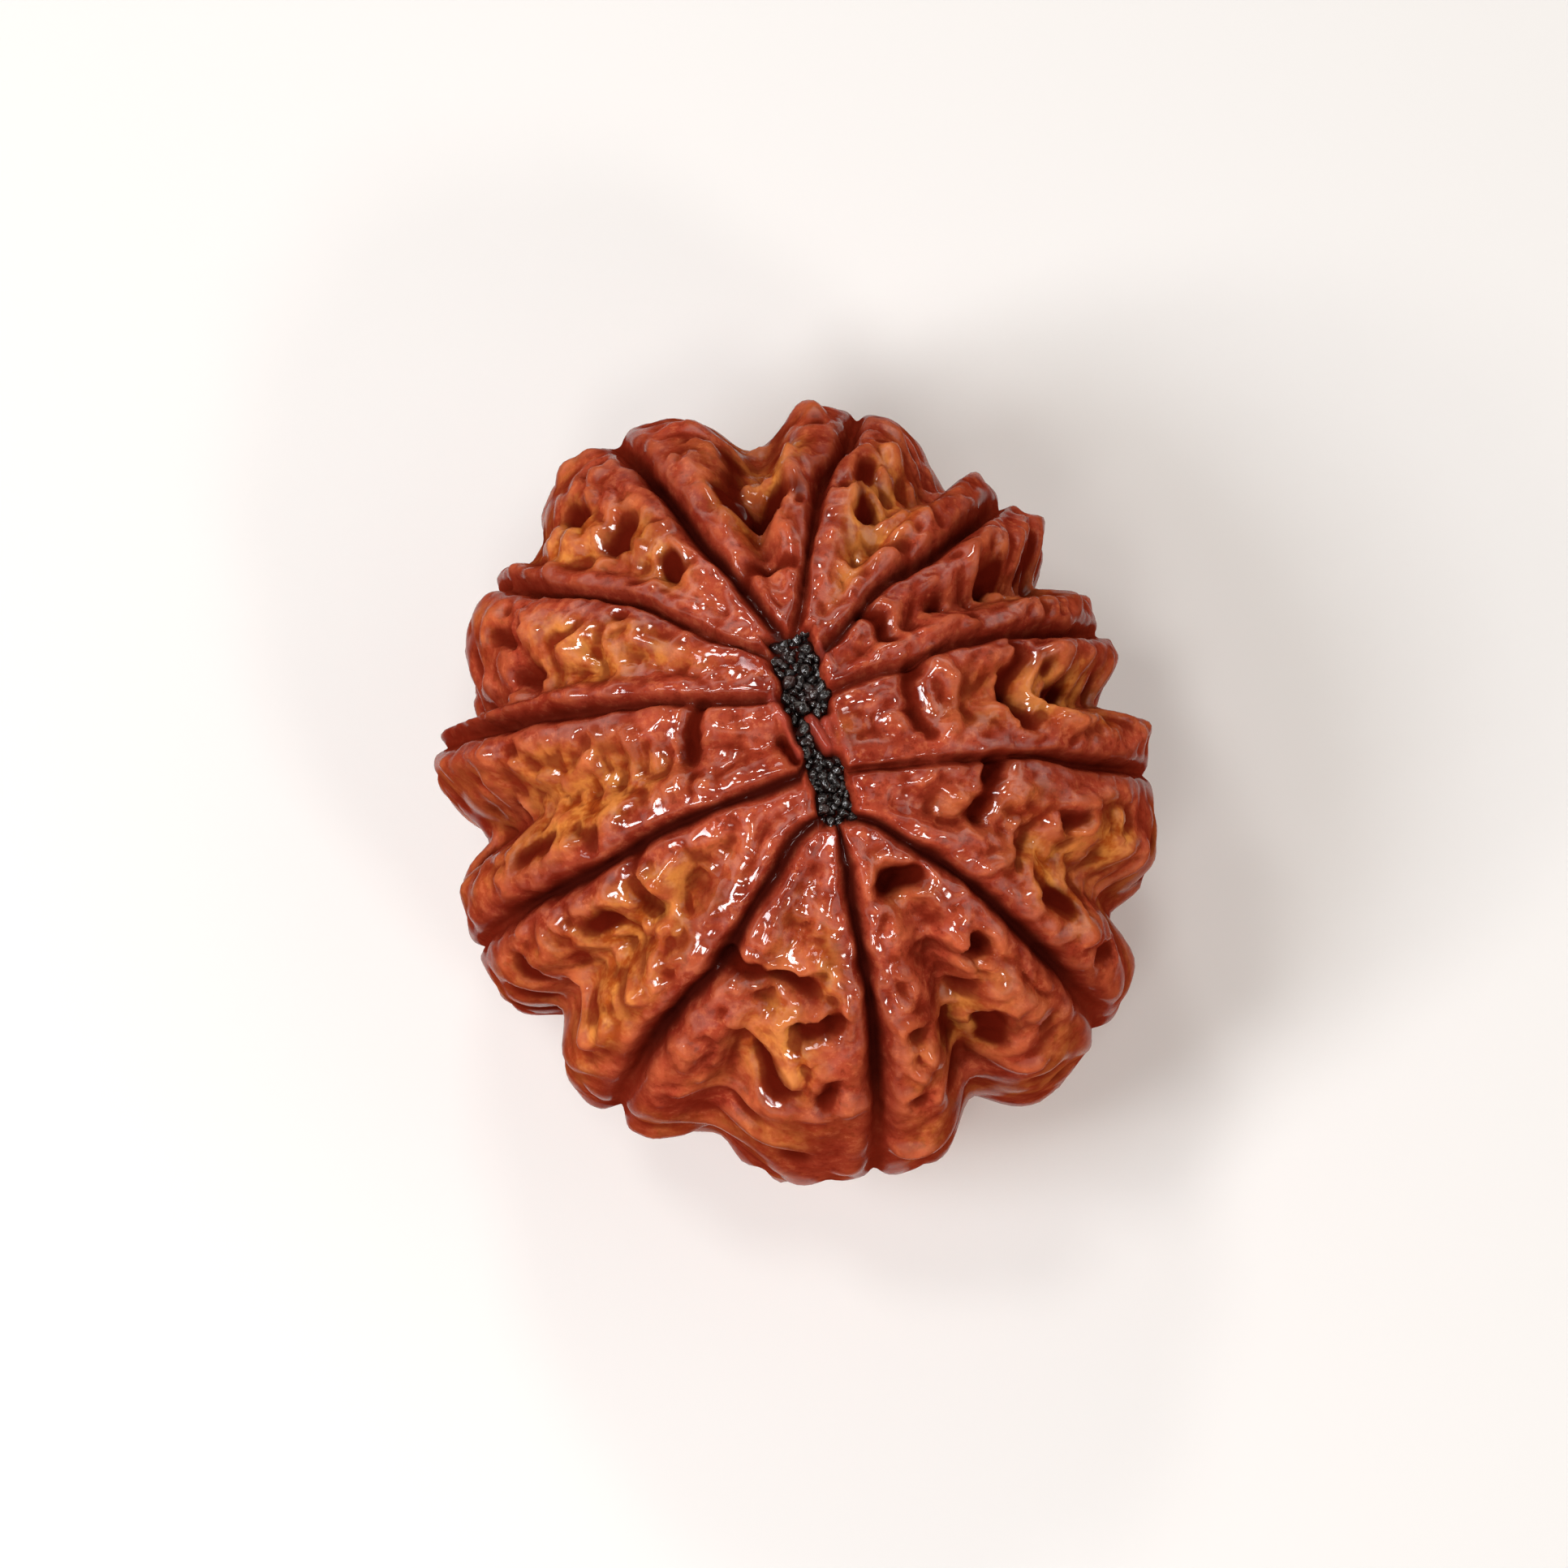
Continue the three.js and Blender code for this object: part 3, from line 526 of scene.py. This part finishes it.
def seed_surface():
    """Points of the seed's surface, and what the material needs to know about each."""
    azimuth, polar, face, across, gap = seed_grid()
    body = body_point(azimuth, polar, face, across)

    here = face % COUNT
    after = (face + 1) % COUNT
    near = np.where(across < 0.5, here, after)
    from_pole = np.minimum(polar, 180 - polar)
    opened = smooth((from_pole - VALLEY["start"]) / (VALLEY["full"] - VALLEY["start"]))
    place = mix(0.5, VALLEY_PLACES[here], opened)
    width = gap / np.maximum(np.minimum(across, 1 - across), 1e-6)
    to_seam = np.where(across < place, across, 1 - across) * width
    to_valley = np.where(across < place, place, 1 - place) * width
    reach = np.minimum(LIP["reach"], LIP["most"] * to_valley)
    shape = mix(LIP["shape"], np.where(across < place, FALLS[here], RISES[here]), opened)
    off_lip = smooth((to_seam - reach) / np.maximum(to_valley - reach, 1e-6)) ** shape

    ridge = mix(RIDGES[here], RIDGES[after], smooth(across))
    deep = mix(VALLEY["at_poles"], 1, opened) * smooth((width - VALLEY["closed"]) / VALLEY["fading"])
    valley = -(ridge - VALLEYS[here]) * deep * off_lip
    uneven = 1 + GROOVE["uneven"] * sum(bumps(body, *lumps) for lumps in GROOVE_LUMPS)
    groove_half = WIDTHS[near] * mix(GROOVE["narrow"], 1, opened) * GROOVE["spread"] * uneven
    in_groove = 1 - smooth(gap / groove_half)
    round_gap = gap * np.maximum(across, 1 - across)
    at_belt = smooth((from_pole - GROOVE["start"]) / (GROOVE["full"] - GROOVE["start"]))
    open_seam = mix(GROOVE["at_poles"], 1, opened) * mix(1, GROOVE["at_belt"], at_belt)
    groove = -GROOVE["depth"] * open_seam * in_groove
    roll = -LIP["roll"] * open_seam * (1 - smooth(round_gap / LIP["roll_reach"]))

    slot_share, slot_fold = slot_place(body)
    on_top = polar <= 90
    in_slot = np.where(on_top, slot_share, smooth((SCAR["edge"] - from_pole) / EDGE_SOFTNESS + 0.5))
    sunk = np.where(on_top, SLOT["depth"] * (1 - slot_fold), SCAR["depth"])
    lips = np.where(on_top, on_slot(SLOT_LIPS, body, 2), 0)
    pockets = np.where(on_top, on_slot(SLOT_POCKETS, body, 2.2), 0)

    net_share = mix(NET_AT_TOP, 1, smooth((polar - NET_START) / (NET_FULL - NET_START)))
    net = net_height(body) * mix(NET_ON_LIP, 1, off_lip) * net_share

    hollows, folds = scattered(SCATTER, SCATTERED_HOLLOW, SCATTERED_FOLD)
    small_hollows, small_folds = scattered(SMALL_SCATTER, SMALL_HOLLOW, SMALL_FOLD)
    bent = body + STROKE_BEND * per_point(lambda p: noise.noise_vector(p / STROKE_BEND_SIZE), body)
    hollow, rim = highest_of([*HOLLOWS, *hollows, *small_hollows], bent, 2.2, STROKE_RIM)
    fold, _ = highest_of([*FOLDS, *folds, *small_folds], bent, 2)
    hollow = blurred(hollow, 2)

    squat = body / np.array([1, 1, TALL])
    creases = [wrinkles(squat, rule["size"], rule["shift"]) for rule in WRINKLES]
    rough = bumps(body, ROUGHNESS["size"], ROUGHNESS["shift"])
    on_face = smooth((gap - FACE_EDGE["start"]) / FACE_EDGE["fading"])
    on_flank = smooth((from_pole - FLANK["start"]) / (FLANK["full"] - FLANK["start"]))
    beneath = smooth((polar - UNDERSIDE["start"]) / (UNDERSIDE["full"] - UNDERSIDE["start"]))
    detail = 0
    for rule, level in zip(WRINKLES, creases):
        raised = rule["high"] * (level - rule["middle"]) * mix(rule["on_lip"], 1, on_face)
        detail = detail + raised * mix(1, rule["on_flank"], on_flank)
    detail = (detail + ROUGHNESS["high"] * rough + rim) * mix(1, UNDERSIDE["detail"], beneath)
    room = smooth((gap + from_pole / NEAR_POLE["spread"] - NEAR_POLE["start"]) / NEAR_POLE["fading"])

    hollow = np.maximum(hollow, pockets)
    skin = groove + roll + net + fold + lips - hollow + detail * mix(NEAR_POLE["detail"], 1, room)
    skin = mix(skin, blurred(skin, 2), on_flank)
    relief = valley + (1 - in_slot) * skin - sunk * in_slot
    length = np.linalg.norm(body, axis=-1)
    points = body * (1 + relief / length)[..., None]

    amber = np.zeros(polar.shape)
    for at_azimuth, at_polar, half_azimuth, half_polar in AMBER:
        turn = (azimuth - at_azimuth + 180) % 360 - 180
        reach = np.hypot(turn / half_azimuth, (polar - at_polar) / half_polar)
        share = (AMBER_REACH["end"] - reach) / (AMBER_REACH["end"] - AMBER_REACH["full"])
        amber = np.maximum(amber, smooth(share))
    rule = AMBER_PATCHES
    patches = smooth(bumps(body, rule["size"], rule["shift"]) * 1.6 + 0.5)
    lower = smooth((polar - rule["start"]) / (rule["full"] - rule["start"]))
    amber = np.maximum(amber, mix(rule["at_top"], rule["low"], lower) * patches)

    rule = GROOVE_MARK
    breadth = smooth((WIDTHS[near] - rule["narrow"]) / (rule["broad"] - rule["narrow"]))
    darkness = mix(rule["faint"], 1, breadth) * mix(1, rule["on_flank"], on_flank)
    marks = {
        # The grooves and the slot's floor get painted shade, the slot's partly for its dark pith
        "groove": np.maximum(in_groove * darkness, in_slot * on_top * (1 - slot_fold)),
        # Nearness to a seam: it places painted shade beside the seams, and smoother bumps there
        "beside": 1 - smooth(gap / mix(SEAM_BAND["at_poles"], SEAM_BAND["low"], opened)),
        # Depth of the hollows: it places painted shade in them
        "hollow": hollow / DEEPEST_HOLLOW,
        "amber": amber * smooth((gap - AMBER_OFF_SEAM["start"]) / AMBER_OFF_SEAM["fading"]),
        # Wrinkle level, low in the creases: it places painted shade there
        "crease_shade": creases[0],
        # Crests stand above and dips below the averaged skin: this places a painted highlight, painted shade
        # and the gloss
        "cavity": skin - blurred(skin, CAVITY_ROUNDS),
        "fold": np.maximum(in_slot * on_top * slot_fold, lips / SLOT_LIP_TOP),
        "level": levels(points),
    }
    return points, marks


def seed_mesh():
    points, marks = seed_surface()
    rings, columns = points.shape[:2]
    top = [0, 0, points[0, :, 2].mean()]
    bottom = [0, 0, SCAR["depth"] - HALF_HEIGHT]
    vertices = np.concatenate([[top], points.reshape(-1, 3), [bottom]]) + np.array(AXIS)
    vertices[:, 2] = np.maximum(vertices[:, 2], 0)

    index = 1 + np.arange(rings * columns).reshape(rings, columns)
    after = np.roll(index, -1, axis=1)
    quads = np.stack([index[:-1], index[1:], after[1:], after[:-1]], -1).reshape(-1, 4)
    first = np.stack([np.zeros(columns, int), index[0], after[0]], -1)
    last = np.stack([np.full(columns, len(vertices) - 1), after[-1], index[-1]], -1)

    mesh = bpy.data.meshes.new("seed_skin")
    mesh.from_pydata((vertices * MM).tolist(), [], first.tolist() + quads.tolist() + last.tolist())
    mesh.update()
    mesh.shade_smooth()
    for name, values in marks.items():
        ends = np.concatenate([[values[0].mean()], values.ravel(), [values[-1].mean()]])
        mesh.attributes.new(name, "FLOAT", "POINT").data.foreach_set("value", ends.astype(np.float32))
    return mesh


def slot_grains():
    """Grains in the slot: small uneven beads that lie on its floor and on each other."""
    row = random_row(GRAINS["seed"])
    turn = math.radians(SLOT["turn"])
    grains = []
    for _ in range(GRAINS["tries"]):
        along = mix(SLOT_BOX["low"], SLOT_BOX["high"], next(row))
        across = GRAINS["reach"] * SLOT_BOX["half"] * (2 * next(row) - 1)
        size = mix(GRAINS["small"], GRAINS["large"], next(row) ** GRAINS["skew"])
        x = along * math.cos(turn) - across * math.sin(turn)
        y = along * math.sin(turn) + across * math.cos(turn)
        inside, fold = slot_place(np.array([x, y, 0]))
        apart = all(math.hypot(x - a, y - b) > GRAINS["crowding"] * (size + s) for a, b, s in grains)
        if inside > GRAIN_PLACE["inside"] and fold < GRAIN_PLACE["fold"] and apart:
            grains.append((x, y, size))

    ball = bpy.data.meshes.new("ball")
    work = bmesh.new()
    bmesh.ops.create_icosphere(work, subdivisions=2, radius=1)
    work.to_mesh(ball)
    work.free()
    shape = np.array([v.co[:] for v in ball.vertices])
    sides = np.array([p.vertices[:] for p in ball.polygons])
    bpy.data.meshes.remove(ball)

    vertices = []
    faces = []
    for n, (x, y, size) in enumerate(grains):
        _, fold = slot_place(np.array([x, y, 0]))
        body_z = HALF_HEIGHT - 0.5 * (x * x + y * y) / GRAIN_PLACE["top_radius"]
        lift = size * mix(GRAIN_PLACE["low"], GRAIN_PLACE["high"], next(row))
        z = body_z - SLOT["depth"] * (1 - float(fold)) + lift
        offset = Vector((n * GRAIN_SHAPE["shift"], 0, 0))
        lump = per_point(lambda p: noise.noise(p * GRAIN_SHAPE["lump_rate"] + offset), shape)
        lumps = 1 + GRAIN_SHAPE["lump"] * lump
        turn = math.pi * next(row)
        long = mix(GRAIN_SHAPE["short"], GRAIN_SHAPE["long"], next(row))
        spin = np.array([
            [math.cos(turn), math.sin(turn), 0],
            [-math.sin(turn), math.cos(turn), 0],
            [0, 0, 1],
        ])
        squat = np.array([long, 1 / long, GRAIN_SHAPE["flat"]])
        vertices.append(shape * lumps[:, None] * squat @ spin * size + np.array([x, y, z]) + np.array(AXIS))
        faces.append(sides + n * len(shape))
    mesh = bpy.data.meshes.new("slot_grains")
    mesh.from_pydata((np.concatenate(vertices) * MM).tolist(), [], np.concatenate(faces).tolist())
    mesh.update()
    mesh.shade_smooth()
    return mesh


def linear(level):
    """A screen value from 0 to 255, as linear light."""
    share = level / 255
    return share / 12.92 if share <= 0.04045 else ((share + 0.055) / 1.055) ** 2.4


def srgb(red, green, blue):
    """A colour given in screen values from 0 to 255, as linear light."""
    return (linear(red), linear(green), linear(blue), 1)


class Nodes:
    """Short ways to add and link the nodes of a material."""

    def __init__(self, name):
        self.material = bpy.data.materials.new(name)
        self.material.use_nodes = True
        self.tree = self.material.node_tree
        self.shader = self.tree.nodes["Principled BSDF"]

    def add(self, kind, **settings):
        node = self.tree.nodes.new(kind)
        for key, value in settings.items():
            setattr(node, key, value)
        return node

    def put(self, socket, value):
        if isinstance(value, bpy.types.NodeSocket):
            self.tree.links.new(value, socket)
        else:
            socket.default_value = value

    def attribute(self, name):
        return self.add("ShaderNodeAttribute", attribute_name=name).outputs["Fac"]

    def noise(self, scale, detail, roughness=0.5):
        node = self.add("ShaderNodeTexNoise")
        self.put(node.inputs["Vector"], self.place())
        self.put(node.inputs["Scale"], scale)
        self.put(node.inputs["Detail"], detail)
        self.put(node.inputs["Roughness"], roughness)
        return node.outputs["Fac"]

    def beads(self, scale):
        """Distance to the nearest of many scattered points, in shares of their spacing."""
        node = self.add("ShaderNodeTexVoronoi")
        self.put(node.inputs["Vector"], self.place())
        self.put(node.inputs["Scale"], scale)
        return node.outputs["Distance"]

    def place(self):
        return self.add("ShaderNodeTexCoord").outputs["Object"]

    def math(self, operation, a, b):
        node = self.add("ShaderNodeMath", operation=operation)
        self.put(node.inputs[0], a)
        self.put(node.inputs[1], b)
        return node.outputs[0]

    def ramp(self, value, low, high, to_low=0.0, to_high=1.0):
        node = self.add("ShaderNodeMapRange", interpolation_type="SMOOTHSTEP")
        self.put(node.inputs["Value"], value)
        for key, number in (("From Min", low), ("From Max", high), ("To Min", to_low), ("To Max", to_high)):
            self.put(node.inputs[key], number)
        return node.outputs["Result"]

    def blend(self, share, a, b):
        node = self.add("ShaderNodeMix", data_type="RGBA")
        self.put(node.inputs["Factor"], share)
        self.put(node.inputs[6], a)
        self.put(node.inputs[7], b)
        return node.outputs[2]

    def bump(self, height, distance, strength, normal=None):
        node = self.add("ShaderNodeBump")
        self.put(node.inputs["Height"], height)
        self.put(node.inputs["Distance"], distance)
        self.put(node.inputs["Strength"], strength)
        if normal is not None:
            self.put(node.inputs["Normal"], normal)
        return node.outputs["Normal"]


def seed_material():
    n = Nodes("oiled_stone")
    broad = n.ramp(n.noise(260, 3, 0.55), 0.35, 0.68)
    fine = n.ramp(n.noise(1100, 3, 0.6), 0.3, 0.7)
    level = n.attribute("level")
    cavity = n.attribute("cavity")

    # A red-brown ground with pale flecks and dark specks, and honey-coloured patches
    colour = n.blend(broad, srgb(*STONE["deep"]), srgb(*STONE["warm"]))
    colour = n.blend(n.math("MULTIPLY", fine, 0.4), colour, srgb(*STONE["pale"]))
    mottle = n.noise(3000, 3, 0.65)
    colour = n.blend(n.ramp(mottle, 0.52, 0.66, 0, 0.42), colour, srgb(*STONE["fleck"]))
    colour = n.blend(n.ramp(mottle, 0.48, 0.34, 0, 0.5), colour, srgb(*STONE["speck"]))
    amber = n.math("MULTIPLY", n.attribute("amber"), n.ramp(n.noise(480, 5, 0.7), 0.34, 0.54, 0.4, 1))
    honey = n.blend(n.ramp(n.noise(1300, 3, 0.65), 0.38, 0.62), srgb(*STONE["honey"]), srgb(*STONE["gold"]))
    colour = n.blend(amber, colour, honey)

    # A painted highlight makes the crests paler, then painted shade darkens the flanks, the edges of seams,
    # creases, dips, hollows and grooves. The slot's fold and lips come last, over the slot's dark floor,
    # which is partly painted shade and partly its dark pith.
    # Painted highlight: paler colour on the raised crests
    crest = n.ramp(cavity, 0.03, 0.16, 0, 0.34)
    colour = n.blend(crest, colour, srgb(*STONE["crest"]))
    # Painted shade: darker where the surface stands upright, as on the flanks
    colour = n.blend(n.ramp(level, 0.6, 0.2, 0, 0.62), colour, srgb(*STONE["flank_shade"]))
    # Painted shade in a band beside the seams
    colour = n.blend(n.ramp(n.attribute("beside"), 0.1, 1, 0, 0.5), colour, srgb(*STONE["beside"]))
    # Painted shade in the creases between the wrinkles
    crease_shade = n.ramp(n.attribute("crease_shade"), 0, 0.3, 0.3, 0)
    colour = n.blend(crease_shade, colour, srgb(*STONE["crease_shade"]))
    # Painted shade in the dips of the skin
    colour = n.blend(n.ramp(cavity, -0.01, -0.12, 0, 0.7), colour, srgb(*STONE["dip_shade"]))
    # Painted shade in the hollows
    colour = n.blend(n.ramp(n.attribute("hollow"), 0.06, 0.5), colour, srgb(*STONE["hollow"]))
    # Painted shade in the grooves; in the slot this dark is partly painted shade and partly its dark pith
    colour = n.blend(n.ramp(n.attribute("groove"), 0.25, 1), colour, srgb(*STONE["groove"]))
    colour = n.blend(n.ramp(n.attribute("fold"), 0.15, 0.8, 0, 0.6), colour, srgb(*STONE["fold"]))
    n.put(n.shader.inputs["Base Color"], colour)

    # The oil's gloss is a coat: full on level places, weak on raised ones, and stronger at the outline
    rough = n.ramp(n.noise(1500, 2), 0.3, 0.7, 0.24, 0.38)
    n.put(n.shader.inputs["Roughness"], n.math("ADD", rough, n.ramp(level, 0.7, 0.3, 0, 0.35)))
    n.shader.inputs["Specular IOR Level"].default_value = 0
    gloss = n.math("MULTIPLY", n.ramp(level, 0.62, 0.9), n.ramp(cavity, -0.06, 0.01))
    gloss = n.math("MULTIPLY", gloss, n.ramp(n.attribute("groove"), 0.3, 0.9, 1, 0.3))
    gloss = n.math("MULTIPLY", gloss, n.ramp(n.noise(650, 2), 0.36, 0.52, 0.15, 1))
    oily = n.math("MULTIPLY", n.ramp(cavity, 0.02, 0.1, 0, 0.2), n.ramp(n.noise(700, 2), 0.45, 0.62))
    oily = n.math("MULTIPLY", oily, n.ramp(level, 0.35, 0.6))
    turned = n.add("ShaderNodeLayerWeight").outputs["Facing"]
    rim = n.math("MULTIPLY", n.ramp(turned, 0.62, 0.9, 0, 0.42), n.ramp(cavity, 0, 0.06))
    n.put(n.shader.inputs["Coat Weight"], n.math("MAXIMUM", n.math("MAXIMUM", gloss, oily), rim))
    n.shader.inputs["Coat Roughness"].default_value = 0.1
    n.shader.inputs["Coat IOR"].default_value = 1.8

    # Relief too fine for the mesh, smoother beside the seams
    pores = n.bump(n.noise(5200, 3, 0.6), 0.00004, 0.25)
    grain = n.bump(n.noise(2100, 2), 0.00014, 0.35, pores)
    uneven = n.ramp(n.attribute("beside"), 0, 0.6, 0.55, 0.25)
    lumps = n.bump(n.noise(800, 1), 0.0005, uneven, grain)
    dots = n.ramp(n.beads(800), 0.36, 0.05)
    n.put(n.shader.inputs["Normal"], n.bump(dots, 0.00014, uneven, lumps))
    return n.material


def grain_material():
    n = Nodes("dark_grains")
    light = n.ramp(n.noise(900, 2), 0.5, 0.75)
    colour = n.blend(light, srgb(*GRAIN_COLOURS["dark"]), srgb(*GRAIN_COLOURS["light"]))
    n.put(n.shader.inputs["Base Color"], colour)
    n.put(n.shader.inputs["Roughness"], n.ramp(n.noise(2500, 2), 0.3, 0.7, 0.1, 0.3))
    n.shader.inputs["Specular IOR Level"].default_value = 0.8
    n.put(n.shader.inputs["Normal"], n.bump(n.noise(5000, 2), 0.0001, 0.7))
    return n.material


def floor_material():
    n = Nodes("pale_floor")
    n.put(n.shader.inputs["Base Color"], srgb(*FLOOR_COLOUR))
    n.put(n.shader.inputs["Roughness"], 0.7)
    n.shader.inputs["Specular IOR Level"].default_value = 0.2
    return n.material


def add_object(name, mesh, material):
    mesh.materials.append(material)
    item = bpy.data.objects.new(name, mesh)
    bpy.context.scene.collection.objects.link(item)
    return item


def make_camera():
    low, high = CAD_BOX
    centre = (low + high) / 2
    tilt = math.radians(CAMERA_TILT)
    up = Vector((0, math.sin(tilt), math.cos(tilt)))
    back = Vector((0, -math.cos(tilt), math.sin(tilt)))
    target = centre + (Vector((1, 0, 0)) * FRAME_OFFSET[0] + up * FRAME_OFFSET[1]) * MM
    data = bpy.data.cameras.new("camera")
    data.angle = 2 * math.atan(FRAME_WIDTH / 2 / CAMERA_DISTANCE)
    data.clip_start = 0.01
    data.clip_end = 20
    camera = bpy.data.objects.new("camera", data)
    camera.location = target + back * CAMERA_DISTANCE * MM
    camera.rotation_euler = (math.pi / 2 - tilt, 0, 0)
    bpy.context.scene.collection.objects.link(camera)
    bpy.context.scene.camera = camera
    return target


def add_light(name, target, azimuth, elevation, distance, size, power, colour):
    """A square lamp that looks at the target. Azimuth turns from +X towards +Y."""
    data = bpy.data.lights.new(name, "AREA")
    data.size = size
    data.energy = power
    data.color = colour
    lamp = bpy.data.objects.new(name, data)
    a = math.radians(azimuth)
    e = math.radians(elevation)
    away = Vector((math.cos(e) * math.cos(a), math.cos(e) * math.sin(a), math.sin(e)))
    lamp.location = target + away * distance
    lamp.rotation_euler = away.to_track_quat("Z", "Y").to_euler()
    bpy.context.scene.collection.objects.link(lamp)


def make_floor():
    far = FLOOR_HALF
    mesh = bpy.data.meshes.new("floor")
    corners = [(-far, -far, 0), (far, -far, 0), (far, far, 0), (-far, far, 0)]
    mesh.from_pydata(corners, [], [(0, 1, 2, 3)])
    mesh.update()
    add_object("floor", mesh, floor_material())


def make_world():
    """A pale room, bright all round and dark overhead, where the camera is."""
    world = bpy.data.worlds.new("studio")
    bpy.context.scene.world = world
    world.use_nodes = True
    nodes = world.node_tree.nodes
    links = world.node_tree.links
    apart = nodes.new("ShaderNodeSeparateXYZ")
    links.new(nodes.new("ShaderNodeTexCoord").outputs["Generated"], apart.inputs[0])
    fade = nodes.new("ShaderNodeValToRGB")
    fade.color_ramp.interpolation = "EASE"
    links.new(apart.outputs["Z"], fade.inputs["Fac"])
    stops = fade.color_ramp.elements
    while len(stops) < len(WORLD):
        stops.new(0.5)
    for stop, (height, level) in zip(stops, WORLD):
        stop.position = height
        stop.color = (level, level, level, 1)
    tint = nodes.new("ShaderNodeMix")
    tint.data_type = "RGBA"
    tint.blend_type = "MULTIPLY"
    tint.inputs["Factor"].default_value = 1
    links.new(fade.outputs["Color"], tint.inputs[6])
    tint.inputs[7].default_value = WORLD_TINT
    background = nodes["Background"]
    links.new(tint.outputs[2], background.inputs["Color"])
    background.inputs["Strength"].default_value = WORLD_STRENGTH


target = make_camera()
make_floor()
make_world()
add_light("window", target, *WINDOW)
for way in GLINT_WAYS:
    add_light("glint", target, *way, *GLINT)
add_light("fill", target, *FILL)
bpy.context.scene.view_settings.view_transform = "Standard"

seed = add_object("seed", seed_mesh(), seed_material())
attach(seed, "root")
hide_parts(NODE)

grains = add_object("slot_grains", slot_grains(), grain_material())
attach(grains, "root")
